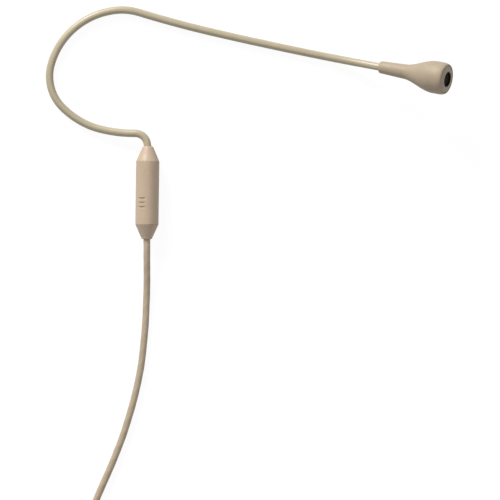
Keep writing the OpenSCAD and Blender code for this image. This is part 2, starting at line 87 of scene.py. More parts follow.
def make_light():
    make_lamp("key", (-0.62, 1.12, 0.58), 0.6, 24, (1, 0.985, 0.96))
    make_lamp("overhead", (0.05, -0.05, 1.6), 0.3, 3, (1, 1, 1))
    world = bpy.data.worlds.new("studio")
    world.use_nodes = True
    sky = world.node_tree.nodes["Background"]
    sky.inputs["Color"].default_value = (1, 1, 1, 1)
    sky.inputs["Strength"].default_value = 0.42
    scene = bpy.context.scene
    scene.world = world
    scene.view_settings.view_transform = "Standard"
    scene.view_settings.look = "None"


FLOOR_HALF = 4
# The sheet is lit from below too, so that the microphone's shadows on it stay faint
FLOOR_GLOW = 0.91


def make_floor():
    """A plain white sheet that the microphone lies on."""
    corners = [(x * FLOOR_HALF, y * FLOOR_HALF, 0) for x, y in ((-1, -1), (1, -1), (1, 1), (-1, 1))]
    mesh = bpy.data.meshes.new("floor")
    mesh.from_pydata(corners, [], [[0, 1, 2, 3]])
    floor = bpy.data.objects.new("floor", mesh)
    bpy.context.scene.collection.objects.link(floor)
    paper = bpy.data.materials.new("paper")
    paper.use_nodes = True
    shader = paper.node_tree.nodes["Principled BSDF"]
    shader.inputs["Base Color"].default_value = (0.12, 0.12, 0.12, 1)
    shader.inputs["Emission Color"].default_value = (1, 1, 1, 1)
    shader.inputs["Emission Strength"].default_value = FLOOR_GLOW
    shader.inputs["Roughness"].default_value = 0.9
    shader.inputs["Specular IOR Level"].default_value = 0.1
    mesh.materials.append(paper)
    # Its glow would wash out the shaded sides, so it lights nothing
    floor.visible_diffuse = False


# ---- Materials -----------------------------------------------------------------------------
class Finish:
    """A Principled material, with a method for each kind of detail."""

    def __init__(self, name, colour, roughness, **sockets):
        self.material = bpy.data.materials.new(name)
        self.material.use_nodes = True
        self.tree = self.material.node_tree
        self.shader = self.tree.nodes["Principled BSDF"]
        self.put("Base Color", (*colour, 1))
        self.put("Roughness", roughness)
        for socket, value in sockets.items():
            self.put(socket.replace("_", " ").title().replace("Ior", "IOR"), value)
        self.colour = (*colour, 1)
        self.place = self.add("ShaderNodeTexCoord").outputs["Object"]
        self.normal = None

    def put(self, socket, value):
        self.shader.inputs[socket].default_value = value

    def link(self, source, socket):
        self.tree.links.new(source, socket)

    def add(self, kind, inputs=None, **settings):
        node = self.tree.nodes.new(kind)
        for setting, value in settings.items():
            setattr(node, setting, value)
        for socket, value in (inputs or {}).items():
            if isinstance(value, bpy.types.NodeSocket):
                self.link(value, node.inputs[socket])
            else:
                node.inputs[socket].default_value = value
        return node

    def stretched(self, scale):
        """The object's own coordinates, times a factor along each axis."""
        node = self.add("ShaderNodeMapping", {"Vector": self.place, "Scale": scale})
        return node.outputs["Vector"]

    def noise(self, size, detail=2.0, stretch=None, seed=0.0):
        """Cloudy noise whose blotches are about size across."""
        vector = self.place if stretch is None else self.stretched(stretch)
        vector = self.add("ShaderNodeVectorMath", {0: vector, 1: (seed, seed, seed)}).outputs[0]
        node = self.add("ShaderNodeTexNoise", {"Vector": vector, "Scale": 1 / size, "Detail": detail})
        return node.outputs[0]

    def attribute(self, name):
        return self.add("ShaderNodeAttribute", attribute_name=name).outputs["Fac"]

    def combine(self, operation, first, second):
        return self.add("ShaderNodeMath", {0: first, 1: second}, operation=operation).outputs[0]

    def spread(self, factor, low, high, to_low=0.0, to_high=1.0):
        """The stretch from low to high of a factor, spread over another range."""
        node = self.add("ShaderNodeMapRange", {
            "Value": factor, "From Min": low, "From Max": high, "To Min": to_low, "To Max": to_high,
        })
        return node.outputs["Result"]

    def edges(self):
        """From 0 on flat and hollow places to 1 on the sharpest edges: the mask for painted highlights on
        edges.
        """
        return self.spread(self.add("ShaderNodeNewGeometry").outputs["Pointiness"], 0.515, 0.60)

    def shade_in_hollows(self):
        """From 0 on flat and raised places to 1 in the deepest corners: the mask for painted shade in
        hollows.
        """
        return self.spread(self.add("ShaderNodeNewGeometry").outputs["Pointiness"], 0.485, 0.42)

    def tint(self, factor, colour):
        """Blends the colour so far towards another one, by a factor over the surface."""
        node = self.add("ShaderNodeMix", data_type="RGBA")
        self.link(factor, node.inputs[0])
        so_far = self.colour
        if isinstance(so_far, bpy.types.NodeSocket):
            self.link(so_far, node.inputs[6])
        else:
            node.inputs[6].default_value = so_far
        node.inputs[7].default_value = (*colour, 1)
        self.colour = node.outputs[2]
        self.link(self.colour, self.shader.inputs["Base Color"])

    def vary_roughness(self, factor, smooth, rough):
        self.link(self.spread(factor, 0.3, 0.7, smooth, rough), self.shader.inputs["Roughness"])

    def bump(self, height, depth):
        """Raises the surface by a height from 0 to 1, times a depth."""
        inputs = {"Height": height, "Distance": depth, "Strength": 1.0}
        if self.normal is not None:
            inputs["Normal"] = self.normal
        self.normal = self.add("ShaderNodeBump", inputs).outputs["Normal"]
        self.link(self.normal, self.shader.inputs["Normal"])


def lighter(colour, factor):
    return tuple(min(1.0, c * factor) for c in colour)


def soft_touch(name, colour, roughness):
    """Matte moulded plastic: cloudy tone, fine grain, painted shade in its hollows, and lighter edges that
    are partly rubbed wear and partly a painted highlight.
    """
    f = Finish(name, colour, roughness, specular_ior_level=0.4)
    f.tint(f.spread(f.noise(5 * MM, 3), 0.35, 0.65, 0, 0.7), lighter(colour, 0.93))
    f.tint(f.spread(f.noise(1.1 * MM, 2, seed=3), 0.45, 0.75, 0, 0.5), lighter(colour, 1.05))
    f.tint(f.spread(f.noise(0.16 * MM, 1, seed=7), 0.62, 0.72, 0, 0.5), lighter(colour, 0.82))
    # Painted shade: darker in hollows and corners
    f.tint(f.shade_in_hollows(), lighter(colour, 0.6))
    # Lighter patches on edges: partly rubbed wear, partly a painted highlight
    f.tint(f.combine("MULTIPLY", f.edges(), f.noise(0.6 * MM, 2, seed=9)), lighter(colour, 1.16))
    f.vary_roughness(f.noise(2.5 * MM, 3, seed=5), roughness - 0.07, roughness + 0.07)
    f.bump(f.noise(0.12 * MM, 2, seed=1), 0.006 * MM)
    f.bump(f.noise(1.4 * MM, 2, seed=2), 0.012 * MM)
    return f


def tube_sheath():
    """The tube's thin olive-beige coat, drawn along its length."""
    colour = (0.43, 0.37, 0.255)
    f = Finish("tube_sheath", colour, 0.36, specular_ior_level=0.55)
    along = f.attribute("along")
    f.tint(f.spread(f.noise(3.5 * MM, 3), 0.35, 0.65, 0, 0.7), lighter(colour, 0.92))
    f.tint(f.spread(f.noise(0.18 * MM, 1, seed=4), 0.62, 0.72, 0, 0.45), lighter(colour, 0.8))
    rings = f.add("ShaderNodeTexNoise", {"W": along, "Scale": 1 / (0.45 * MM), "Detail": 2.0},
                  noise_dimensions="1D").outputs[0]
    f.tint(f.spread(rings, 0.5, 0.75, 0, 0.35), lighter(colour, 1.06))
    f.vary_roughness(f.noise(2 * MM, 3, seed=5), 0.33, 0.41)
    f.bump(rings, 0.004 * MM)
    f.bump(f.noise(0.14 * MM, 2, seed=1), 0.002 * MM)
    return f


def cable_jacket():
    """Satin jacket over twisted cores, with faint lines that run round it, their raised ridges lightened by a
    painted highlight.
    """
    colour = (0.44, 0.352, 0.25)
    f = Finish("cable_jacket", colour, 0.5, specular_ior_level=0.4)
    lay = f.attribute("lay")
    f.tint(f.spread(f.noise(4 * MM, 3), 0.35, 0.65, 0, 0.6), lighter(colour, 0.92))
    # Painted highlight: lighter on the relief's raised ridges
    f.tint(f.spread(lay, 0.55, 1, 0, 0.5), lighter(colour, 1.12))
    f.tint(f.spread(f.noise(0.2 * MM, 1, seed=4), 0.6, 0.72, 0, 0.5), lighter(colour, 0.8))
    f.vary_roughness(f.noise(1.6 * MM, 3, seed=5), 0.44, 0.56)
    f.bump(f.noise(0.16 * MM, 2, seed=1), 0.006 * MM)
    return f


def beige_rubber():
    colour = (0.36, 0.29, 0.20)
    f = Finish("beige_rubber", colour, 0.62, specular_ior_level=0.35)
    f.tint(f.spread(f.noise(2.5 * MM, 3), 0.35, 0.65, 0, 0.8), lighter(colour, 0.88))
    # Painted shade: darker in hollows and corners
    f.tint(f.shade_in_hollows(), lighter(colour, 0.55))
    # Painted highlight in patches along the edges
    f.tint(f.combine("MULTIPLY", f.edges(), f.noise(0.5 * MM, 2, seed=9)), lighter(colour, 1.2))
    f.vary_roughness(f.noise(1.5 * MM, 3, seed=5), 0.55, 0.7)
    f.bump(f.noise(0.1 * MM, 2, seed=1), 0.008 * MM)
    return f


def turned_metal(name, colour, roughness, axis_stretch=(1, 0.02, 0.02), marks=0.05):
    """Plated metal with fine marks that run round it, smudges, painted shade in its hollows and a painted
    highlight on its edges.
    """
    f = Finish(name, colour, roughness, metallic=1.0)
    lines = f.noise(marks * MM, 2, stretch=axis_stretch)
    f.tint(f.spread(lines, 0.4, 0.7, 0, 0.5), lighter(colour, 0.86))
    f.tint(f.spread(f.noise(3 * MM, 3, seed=3), 0.45, 0.7, 0, 0.5), lighter(colour, 0.92))
    # Painted shade: darker in hollows and corners
    f.tint(f.shade_in_hollows(), lighter(colour, 0.45))
    # Painted highlight: lighter on edges
    f.tint(f.edges(), lighter(colour, 1.15))
    f.vary_roughness(f.noise(1.8 * MM, 3, seed=5), roughness - 0.02, roughness + 0.05)
    f.bump(lines, 0.0006 * MM)
    return f


def plain_metal(name, colour, roughness):
    """Drawn or stamped metal with cloudy tarnish and small scratches."""
    f = Finish(name, colour, roughness, metallic=1.0)
    f.tint(f.spread(f.noise(0.8 * MM, 3), 0.4, 0.7, 0, 0.7), lighter(colour, 0.78))
    # Painted shade: darker in hollows and corners
    f.tint(f.shade_in_hollows(), lighter(colour, 0.5))
    f.vary_roughness(f.noise(0.5 * MM, 3, seed=5), roughness - 0.08, roughness + 0.12)
    f.bump(f.noise(0.08 * MM, 2, seed=1), 0.002 * MM)
    return f


def circuit_board():
    """Green solder mask over tracks, with a faint glass weave."""
    colour = (0.02, 0.13, 0.06)
    f = Finish("circuit_board", colour, 0.35, coat_weight=0.3)
    tracks = f.add("ShaderNodeTexBrick", {
        "Vector": f.place, "Scale": 900.0, "Mortar Size": 0.03, "Brick Width": 1.0, "Row Height": 0.5,
    }).outputs["Fac"]
    f.tint(tracks, (0.05, 0.24, 0.10))
    f.tint(f.spread(f.noise(0.4 * MM, 2), 0.5, 0.7, 0, 0.5), (0.01, 0.09, 0.04))
    f.bump(tracks, 0.02 * MM)
    return f


def moulded(name, colour, roughness, grain=0.08):
    """Small moulded pieces: epoxy, resin and rubber."""
    f = Finish(name, colour, roughness, specular_ior_level=0.4)
    f.tint(f.spread(f.noise(0.7 * MM, 3), 0.35, 0.7, 0, 0.6), lighter(colour, 0.75))
    # Painted highlight: lighter on edges
    f.tint(f.edges(), lighter(colour, 1.5))
    f.vary_roughness(f.noise(0.5 * MM, 2, seed=5), roughness - 0.06, roughness + 0.08)
    f.bump(f.noise(grain * MM, 2, seed=1), 0.005 * MM)
    return f


def black_felt():
    """Pressed fibres, as a tangle of short stretched noise."""
    colour = (0.012, 0.012, 0.013)
    f = Finish("black_felt", colour, 0.95, specular_ior_level=0.1, sheen_weight=0.3)
    one_way = f.noise(0.09 * MM, 3, stretch=(1, 0.2, 1))
    other_way = f.noise(0.09 * MM, 3, stretch=(0.2, 1, 1), seed=4)
    fibres = f.combine("MAXIMUM", one_way, other_way)
    f.tint(f.spread(fibres, 0.5, 0.75), (0.03, 0.03, 0.032))
    f.bump(fibres, 0.05 * MM)
    return f


def black_strap():
    """Woven hook-and-loop tape: a napped face over rows of loops."""
    colour = (0.016, 0.016, 0.018)
    f = Finish("black_strap", colour, 0.85, specular_ior_level=0.15, sheen_weight=0.4,
               sheen_roughness=0.4)
    cells = f.add("ShaderNodeTexVoronoi", {"Vector": f.place, "Scale": 1 / (0.2 * MM), "Randomness": 0.7})
    loops = f.combine("SUBTRACT", 0.8, cells.outputs["Distance"])
    f.tint(f.spread(loops, 0.2, 0.7), (0.04, 0.04, 0.044))
    f.tint(f.spread(f.noise(1.5 * MM, 3), 0.45, 0.7, 0, 0.5), (0.028, 0.028, 0.031))
    f.bump(loops, 0.07 * MM)
    f.bump(f.noise(0.07 * MM, 3, seed=2), 0.03 * MM)
    return f


# The capsule's beige is darker than the slug's by painted shade
CAPSULE_SHADED_BEIGE = (0.368, 0.295, 0.209)
SLUG_BEIGE = (0.49, 0.378, 0.276)


def make_finishes():
    """One material for each slot of the record."""
    made = {
        "beige_plastic": soft_touch("beige_plastic", CAPSULE_SHADED_BEIGE, 0.54),
        "slug_plastic": soft_touch("slug_plastic", SLUG_BEIGE, 0.48),
        "tube_sheath": tube_sheath(),
        "cable_jacket": cable_jacket(),
        "beige_rubber": beige_rubber(),
        "form_wire": plain_metal("form_wire", (0.60, 0.61, 0.63), 0.35),
        "lead_jacket": moulded("lead_jacket", (0.33, 0.20, 0.14), 0.45),
        "copper": plain_metal("copper", (0.80, 0.42, 0.24), 0.3),
        "brass": turned_metal("brass", (0.76, 0.60, 0.30), 0.3),
        "gold_plate": turned_metal("gold_plate", (0.88, 0.66, 0.28), 0.18, marks=0.04),
        "bright_steel": turned_metal("bright_steel", (0.52, 0.52, 0.515), 0.34),
        "dark_steel": plain_metal("dark_steel", (0.25, 0.26, 0.27), 0.4),
        "metal_film": plain_metal("metal_film", (0.80, 0.80, 0.80), 0.15),
        "circuit_board": circuit_board(),
        "black_chip": moulded("black_chip", (0.022, 0.022, 0.024), 0.5),
        "white_resin": moulded("white_resin", (0.75, 0.73, 0.68), 0.4),
        "black_resin": moulded("black_resin", (0.018, 0.018, 0.018), 0.25),
        "black_mesh": plain_metal("black_mesh", (0.03, 0.03, 0.032), 0.5),
        "black_felt": black_felt(),
        "black_rubber": moulded("black_rubber", (0.02, 0.02, 0.021), 0.65),
        "black_strap": black_strap(),
    }
    return {slot: finish.material for slot, finish in made.items()}


def paint(obj, slot):
    obj.data.materials.clear()
    obj.data.materials.append(finishes[slot])


# ---- Making meshes -------------------------------------------------------------------------
def way(heading, climb=0):
    """The unit vector at a heading round from +X and a climb above the table, in degrees."""
    h, c = math.radians(heading), math.radians(climb)
    return np.array([math.cos(c) * math.cos(h), math.cos(c) * math.sin(h), math.sin(c)])


def mix(a, b, t):
    return a + (b - a) * t


def ease(t):
    t = np.clip(t, 0, 1)
    return t * t * (3 - 2 * t)


def make_object(name, points, faces, crease=35, corners=None):
    """A mesh object, smooth but for its creases. corners holds values for each face's corners."""
    mesh = bpy.data.meshes.new(name)
    mesh.from_pydata([tuple(p) for p in points], [], faces)
    for label, values in (corners or {}).items():
        attribute = mesh.attributes.new(label, "FLOAT", "CORNER")
        attribute.data.foreach_set("value", np.asarray(values, np.float32).ravel())
    mesh.shade_smooth()
    mesh.set_sharp_from_angle(angle=math.radians(crease))
    mesh.validate()
    obj = bpy.data.objects.new(name, mesh)
    bpy.context.scene.collection.objects.link(obj)
    return obj


def place_piece(obj, body, slot, *stands_for):
    """Paints a rigid piece, and lets it ride on a body in place of its CAD nodes."""
    paint(obj, slot)
    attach(obj, body)
    if stands_for:
        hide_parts(*stands_for)


def ring_frames(forwards):
    """The side and up vectors that are square to each way forward."""
    sides = np.cross([0, 0, 1], forwards)
    sides /= np.linalg.norm(sides, axis=1)[:, None]
    return sides, np.cross(forwards, sides)


def ring_points(places, forwards, radius, around, lift=0.0):
    """Rings of points: radius is one number, or one for each ring and angle."""
    side, up = ring_frames(forwards)
    radius = np.broadcast_to(radius, (len(places), len(around)))[:, :, None]
    out = np.cos(around)[None, :, None] * side[:, None] + np.sin(around)[None, :, None] * up[:, None]
    middle = places + lift * up
    return (middle[:, None] + radius * out).reshape(-1, 3)


def wall_faces(rings, sides, first=0, inward=False):
    """Four-cornered faces between rings of points."""
    i, j = np.meshgrid(np.arange(rings - 1), np.arange(sides), indexing="ij")
    a = first + i * sides + j
    b = first + i * sides + (j + 1) % sides
    quads = [a, a + sides, b + sides, b] if inward else [a, b, b + sides, a + sides]
    return np.stack(quads, -1).reshape(-1, 4).tolist()


def sweep(name, places, forwards, radius, sides, bore=None, lift=0.0, relief=None):
    """A rod, or a pipe if it has a bore, along a path. relief maps distance and angle to height.

    Its outer wall has the attributes along, in metres, and lay, the relief from 0 to 1.
    """
    n = len(places)
    along = np.concatenate([[0], np.cumsum(np.linalg.norm(np.diff(places, axis=0), axis=1))])
    around = 2 * math.pi * np.arange(sides) / sides
    height = np.zeros((n, sides)) if relief is None else relief(along[:, None], around[None, :])
    radii = radius + height
    points = ring_points(places, forwards, radii, around, lift)
    faces = wall_faces(n, sides)
    outer_faces = len(faces)
    if bore is None:
        faces += [list(range(sides))[::-1], [(n - 1) * sides + j for j in range(sides)]]
    else:
        inner = n * sides
        points = np.concatenate([points, ring_points(places, forwards, bore, around, lift)])
        faces += wall_faces(n, sides, inner, inward=True)
        for j in range(sides):
            k = (j + 1) % sides
            end = (n - 1) * sides
            faces.append([j, inner + j, inner + k, k])
            faces.append([end + j, end + k, inner + end + k, inner + end + j])
    corner_count = sum(len(f) for f in faces)
    ring_along = np.zeros(corner_count)
    i = np.repeat(np.arange(n - 1), sides)
    ring_along[: 4 * outer_faces] = np.stack([along[i], along[i], along[i + 1], along[i + 1]], -1).ravel()
    lay = np.zeros(corner_count)
    if relief is not None:
        flat = (height / max(1e-9, height.max())).ravel()
        lay[: 4 * outer_faces] = flat[np.array(faces[:outer_faces]).ravel()]
    return make_object(name, points, faces, corners={"along": ring_along, "lay": lay})


def soften(outline, radius, steps=4, least_turn=18):
    """Rounds the corners of a closed outline of (r, z) points, but for those on the axis."""
    corners = [Vector(p) for p in outline]
    rounded = []
    for i, here in enumerate(corners):
        to_last = corners[i - 1] - here
        to_next = corners[(i + 1) % len(corners)] - here
        turn = math.pi - to_last.angle(to_next)
        if here.x < 1e-9 or turn < math.radians(least_turn):
            rounded.append(here)
            continue
        cut = min(radius * math.tan(turn / 2), 0.4 * to_last.length, 0.4 * to_next.length)
        start, end = here + to_last.normalized() * cut, here + to_next.normalized() * cut
        rounded.append(start + to_last.normalized() * cut * 0.2)
        for k in range(steps + 1):
            t = k / steps
            rounded.append((1 - t) ** 2 * start + 2 * t * (1 - t) * here + t * t * end)
        rounded.append(end + to_next.normalized() * cut * 0.2)
    return [(p.x, p.y) for p in rounded]


def split_edges(outline, step):
    """Puts points on a closed outline's long edges, so that none is longer than a step."""
    made = []
    for i, here in enumerate(outline):
        after = outline[(i + 1) % len(outline)]
        n = max(1, math.ceil(math.dist(here, after) / step))
        made += [(mix(here[0], after[0], k / n), mix(here[1], after[1], k / n)) for k in range(n)]
    return made


def lathe(name, outline, place, segments=128, relief=None, angles=None):
    """Turns a closed outline of (r, z) points, in mm, about its axis, and sets it at a place.

    relief maps arrays of angle, r and z to a new r.
    """
    profile = np.array(outline, float)
    following = np.roll(profile, -1, axis=0)
    area = np.sum(profile[:, 0] * following[:, 1] - following[:, 0] * profile[:, 1])
    if area < 0:
        profile = profile[::-1]
    if angles is None:
        angles = 2 * math.pi * np.arange(segments) / segments
    count = len(angles)
    r = np.repeat(profile[:, :1], count, axis=1)
    z = np.repeat(profile[:, 1:], count, axis=1)
    turn = np.repeat(angles[None, :], len(profile), axis=0)
    if relief is not None:
        r = relief(turn, r, z)
    points = np.stack([r * np.cos(turn), r * np.sin(turn), z], -1).reshape(-1, 3) * MM
    turned = np.array(place.to_3x3()) @ points.T
    points = turned.T + np.array(place.translation)
    rows, n = len(profile), count
    i, j = np.meshgrid(np.arange(rows), np.arange(n), indexing="ij")
    a, b = i * n + j, i * n + (j + 1) % n
    c, d = (i + 1) % rows * n + (j + 1) % n, (i + 1) % rows * n + j
    faces = np.stack([a, b, c, d], -1).reshape(-1, 4).tolist()
    obj = make_object(name, points, faces)
    if profile[:, 0].min() < 1e-9:
        work = bmesh.new()
        work.from_mesh(obj.data)
        bmesh.ops.remove_doubles(work, verts=work.verts, dist=1e-8)
        work.to_mesh(obj.data)
        work.free()
    return obj


# ---- Formed tube: the CAD's own table of bends ---------------------------------------------
TUBE_R = 1.325 * MM
TUBE_BORE_R = 0.9 * MM
WIRE_R = 0.4 * MM
WIRE_LIFT = -0.4 * MM
LEAD_R = 0.35 * MM
LEAD_LIFT = 0.45 * MM
SLUG_R = 4.05
SLUG_MOUTH = np.array([-35.6, -7.9, SLUG_R]) * MM
SLUG_HEADING = 89.2
TUBE_DEPTH = 11 * MM
# The tube comes down to the table over four stretches. Its slope follows from their lengths, where
# a stretch in which the slope changes counts by its average
MOUTH_DEPTH = 1
LEAN = 1
CORNER = 6
RUN_DOWN = 13
LEVEL_OUT = 6
WAY_DOWN = MOUTH_DEPTH / 4 + LEAN * 3 / 4 + CORNER + RUN_DOWN + LEVEL_OUT / 2
DROP = -math.degrees(math.asin((SLUG_R - TUBE_R / MM) / WAY_DOWN))
NECK_CLIMB = 16
CAPSULE_HEADING = -11.8
CAPSULE_CLIMB = 26.6
# One row for each stretch: length in mm, heading at its end, climb at its end
BENDS = [
    [10, SLUG_HEADING, 0],
    [MOUTH_DEPTH, 100, DROP / 2],
    [LEAN, 100, DROP],
    [CORNER, 180, DROP],
    [RUN_DOWN, 165, DROP],
    [LEVEL_OUT, 152, 0],
    [9, 135, 0],
    [8, 105, 0],
    [4, 90, 0],
    [4, 75, 0],
    [12, 48, 0],
    [20, 5, 0],
    [4, -7, 0],
    [4, -17, 0],
    [27, -13, 0],
    [35.2, -11.5, 0],
    [14, -11.5, NECK_CLIMB],
    [4, CAPSULE_HEADING, (NECK_CLIMB + CAPSULE_CLIMB) / 2],
    [4, CAPSULE_HEADING, CAPSULE_CLIMB],
    [3, CAPSULE_HEADING, CAPSULE_CLIMB],
    [9.9, CAPSULE_HEADING, CAPSULE_CLIMB],
]
# First and last row of each length of tube
ROWS = {
    "hook_lower": (0, 7), "hook_flex": (8, 9), "hook_upper": (10, 11), "boom_flex": (12, 13),
    "boom": (14, 16), "neck_flex": (17, 18), "neck": (19, 20),
}
CAPSULE_ROW = 20
RING_GAP = 3
RING_TURN = 9
FINE_GAP = 0.5 * MM
TUBE_SIDES = 40


def stretch(row, start):
    """The CAD's rings along one stretch, each (place, heading, climb)."""
    length, heading, climb = row
    place, first_heading, first_climb = start
    turn = max(abs(heading - first_heading), abs(climb - first_climb))
    n = max(1, math.ceil(length / RING_GAP), math.ceil(round(turn / RING_TURN, 9)))
    found = [start]
    for k in range(n):
        t = (k + 0.5) / n
        step = way(mix(first_heading, heading, t), mix(first_climb, climb, t))
        place = place + length * MM / n * step
        t = (k + 1) / n
        found.append((place, mix(first_heading, heading, t), mix(first_climb, climb, t)))
    return found


def all_stretches():
    start = (SLUG_MOUTH - TUBE_DEPTH * way(SLUG_HEADING), SLUG_HEADING, 0)
    made = []
    for row in BENDS:
        made.append(stretch(row, start))
        start = made[-1][-1]
    return made


def curve_through(places, forwards, gap):
    """A smooth curve through places with known ways forward: its points and ways forward."""
    made, ways = [], []
    for p, q, forward, next_forward in zip(places, places[1:], forwards, forwards[1:]):
        chord = np.linalg.norm(q - p)
        m0, m1 = forward * chord, next_forward * chord
        n = max(1, math.ceil(chord / gap))
        for t in np.arange(n) / n:
            made.append((2 * t**3 - 3 * t**2 + 1) * p + (t**3 - 2 * t**2 + t) * m0
                        + (3 * t**2 - 2 * t**3) * q + (t**3 - t**2) * m1)
            ways.append((6 * t**2 - 6 * t) * (p - q) + (3 * t**2 - 4 * t + 1) * m0 + (3 * t**2 - 2 * t) * m1)
    made.append(places[-1])
    ways.append(forwards[-1])
    ways = np.array(ways)
    return np.array(made), ways / np.linalg.norm(ways, axis=1)[:, None]


stretches = all_stretches()


def formed_path(part):
    first, last = ROWS[part]
    found = [stretches[first][0]]
    for row in stretches[first:last + 1]:
        found += row[1:]
    places = [place for place, _, _ in found]
    forwards = [way(heading, climb) for _, heading, climb in found]
    return curve_through(places, forwards, FINE_GAP)


def make_tube(part, node, body):
    places, forwards = formed_path(part)
    tube = sweep(node + "_skin", places, forwards, TUBE_R, TUBE_SIDES, bore=TUBE_BORE_R)
    place_piece(tube, body, "tube_sheath", node)


def make_flex(part):
    """The tube, wire and lead of a zone that bends between one body and the next."""
    places, forwards = formed_path(part)
    pieces = {
        "tube": (sweep(part + "_tube_skin", places, forwards, TUBE_R, TUBE_SIDES, bore=TUBE_BORE_R),
                 "tube_sheath"),
        "wire": (sweep(part + "_wire_core", places, forwards, WIRE_R, 16, lift=WIRE_LIFT), "form_wire"),
        "lead": (sweep(part + "_lead_core", places, forwards, LEAD_R, 16, lift=LEAD_LIFT), "lead_jacket"),
    }
    for kind, (piece, slot) in pieces.items():
        paint(piece, slot)
        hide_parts(f"{part}_{kind}")
        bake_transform(piece)


def make_formed_tube():
    make_tube("hook_lower", "hook_tube_lower", "root")
    make_flex("hook_flex")
    make_tube("hook_upper", "hook_tube_upper", "ear_hook")
    make_flex("boom_flex")
    make_tube("boom", "boom_tube", "boom")
    make_flex("neck_flex")
    make_tube("neck", "neck_tube", "capsule")


# ---- Cable ---------------------------------------------------------------------------------
CABLE_D = 2.4
CABLE_R = CABLE_D / 2
# The jacket follows the twist of its cores: two long, very low waves round it
LAY_PITCH = 5 * MM
LAY_HEIGHT = 0.03 * MM
CABLE_SIDES = 20
CABLE_GAP = 0.5 * MM
TIE_T = 0.6
COIL_X, COIL_Y = -42, -152
COIL_R = 13.2
TURNS_ACROSS = 4
LAYERS = 4
OUTER_TURN_R = COIL_R + (TURNS_ACROSS - 1) / 2 * CABLE_D
LOW_TURN = TIE_T + CABLE_R
TAIL_Y = COIL_Y - OUTER_TURN_R
PLUG_Z = 4

CABLE_ROUTE = [
    [-35.9, -30.5, 4.05],
    [-36, -35.5, 4.05],
    [-36, -40.5, 4.05],
    [-36, -44.5, 4],
    [-36, -49, 3.4],
    [-36, -54, 2.4],
    [-36.1, -59, 1.6],
    [-36.3, -64, 1.3],
    [-36.5, -69, CABLE_R],
    [-36.9, -74, CABLE_R],
    [-37.4, -79, CABLE_R],
    [-38, -84, CABLE_R],
    [-38.9, -89, CABLE_R],
    [-40, -94, CABLE_R],
    [-41.3, -99, CABLE_R],
    [-42.8, -104, CABLE_R],
    [-44.4, -109, CABLE_R],
    [-46.3, -114, CABLE_R],
    [-48.3, -119, CABLE_R],
    [-50.5, -124, CABLE_R],
    [-52.7, -129, CABLE_R],
    [-54.8, -134, CABLE_R],
    [-56.6, -139, 1.3],
    [-57.9, -144, 1.5],
    [-58.6, -148, 1.7],
]
TAIL_ROUTE = [
    [-38, TAIL_Y, 8.9],
    [-34, TAIL_Y, 8.2],
    [-30, TAIL_Y, 7.1],
    [-26, TAIL_Y, 5.8],
    [-22, TAIL_Y, 4.7],
    [-19, TAIL_Y, 4.2],
    [-16, TAIL_Y, PLUG_Z],
    [-12, TAIL_Y, PLUG_Z],
    [-6, TAIL_Y, PLUG_Z],
    [0, TAIL_Y, PLUG_Z],
    [5.5, TAIL_Y, PLUG_Z],
]
# The winding steps sideways or up over part of a turn, a little earlier in each layer
STEP_ANGLE = 40
FIRST_STEP = 320
# The cable joins the coil on its left side, and leaves it at the bottom
COIL_START = 180
COIL_ANGLE = 15 * 360 + 90
POINTS_A_TURN = 30


def winding():
    """The coil's centreline, in mm: layers of turns, inwards and outwards by turns."""
    phi = np.linspace(0, COIL_ANGLE, round(COIL_ANGLE / 360 * POINTS_A_TURN) + 1)
    r = np.full(len(phi), OUTER_TURN_R)
    z = np.full(len(phi), LOW_TURN)
    for step in range(LAYERS * TURNS_ACROSS - 1):
        layer, across = divmod(step, TURNS_ACROSS)
        rises = across == TURNS_ACROSS - 1
        start = FIRST_STEP + 360 * step - STEP_ANGLE * (2 * layer + rises)
        share = ease((phi - start) / STEP_ANGLE)
        if rises:
            z += CABLE_D * share
        else:
            r += (CABLE_D if layer % 2 else -CABLE_D) * share
    turn = np.radians(COIL_START + phi)
    return np.stack([COIL_X + r * np.cos(turn), COIL_Y + r * np.sin(turn), z], -1)


def make_cable():
    points = np.concatenate([CABLE_ROUTE, winding(), TAIL_ROUTE]) * MM
    gaps = np.diff(points, axis=0)
    chords = np.linalg.norm(gaps, axis=1)[:, None]
    slopes = gaps / chords
    inner = (slopes[:-1] * chords[1:] + slopes[1:] * chords[:-1]) / (chords[1:] + chords[:-1])
    forwards = np.concatenate([slopes[:1], inner, slopes[-1:]])
    places, forwards = curve_through(points, forwards, CABLE_GAP)

    def twist(along, around):
        return LAY_HEIGHT * (0.5 + 0.5 * np.cos(2 * around - 2 * math.pi * along / LAY_PITCH))

    cable = sweep("cable_jacket", places, forwards, CABLE_R * MM - LAY_HEIGHT, CABLE_SIDES, relief=twist)
    place_piece(cable, "root", "cable_jacket", "cable", "cable_coil")
    return cable, places


# ---- Ties round the coil -------------------------------------------------------------------
TIE_TURNS = (40, 220)
TIE_ANGLE = 26
BUNDLE = TURNS_ACROSS * CABLE_D
BUNDLE_ROUND = 1.2
STRAP_T = 0.54
CORNER_STEPS = 8
FLAT_STEPS = 12
ACROSS_STEPS = 16


def bundle_surface():
    """Once round the bundle's section from its outer side, over the top: spots and ways out."""
    half = BUNDLE / 2 - BUNDLE_ROUND
    corners = [(half, half), (-half, half), (-half, -half), (half, -half)]
    middle = np.array([COIL_R, TIE_T + BUNDLE / 2])
    spots, ways = [], []
    for quarter, corner in enumerate(corners):
        for k in range(CORNER_STEPS + 1):
            a = math.radians(90 * (quarter + k / CORNER_STEPS))
            ways.append(np.array([math.cos(a), math.sin(a)]))
            spots.append(middle + corner + BUNDLE_ROUND * ways[-1])
        flat = np.array(corners[(quarter + 1) % 4]) - corner
        from_here = spots[-1]
        for k in range(1, FLAT_STEPS):
            ways.append(ways[-1])
            spots.append(from_here + flat * k / FLAT_STEPS)
    return np.array(spots), np.array(ways)


